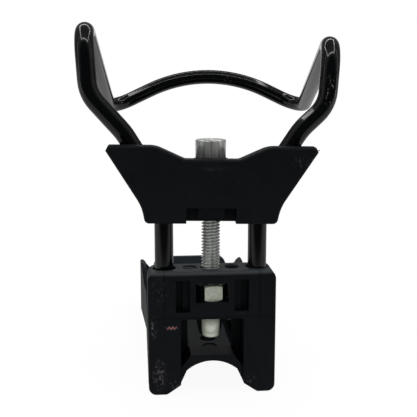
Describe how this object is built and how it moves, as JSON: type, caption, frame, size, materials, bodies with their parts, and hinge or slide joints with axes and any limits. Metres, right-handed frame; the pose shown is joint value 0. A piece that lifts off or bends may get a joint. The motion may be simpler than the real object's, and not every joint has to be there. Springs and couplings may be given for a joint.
{
  "type": "bottle cage",
  "caption": "Adjustable bicycle bottle cage: a wire loop and cradle slide on a saddle base, set by a long screw in a captive nut.",
  "frame": {"origin": "midway between the two screw holes, on the tray's flat floor where the screw heads bear", "axes": "+X to the right as seen from the end where the bottle goes in, +Y along the bottle towards its base, +Z away from the bicycle's tube"},
  "size_m": [0.0938, 0.1159, 0.1183],
  "materials": {
    "black_nylon": "moulded, satin black with a bluish cast",
    "black_alloy": "gloss black coating over bent alloy rod",
    "bright_steel": "bright zinc plated",
    "zinc_steel": "zinc plated, slightly dull"
  },
  "bodies": {
    "base": {"base": "black_nylon", "captive_nut": "zinc_steel"},
    "carriage": {"wire_frame": "black_alloy", "cradle": "black_nylon"},
    "adjuster": {"adjusting_bolt": "bright_steel"}
  },
  "joints": [
    {"name": "cradle_slide", "type": "slide", "parent": "base", "child": "carriage", "axis": [0, 0, 1], "range_m": [-0.0035, 0.012]},
    {"name": "bolt_spin", "type": "hinge", "parent": "carriage", "child": "adjuster", "pos_m": [0, -0.0425, 0.0631], "axis": [0, 0, 1], "range_deg": [-1261, 4321]}
  ],
  "couplings": [
    {"joint": "bolt_spin", "follows": "cradle_slide", "rad_per_m": 6283.2}
  ]
}
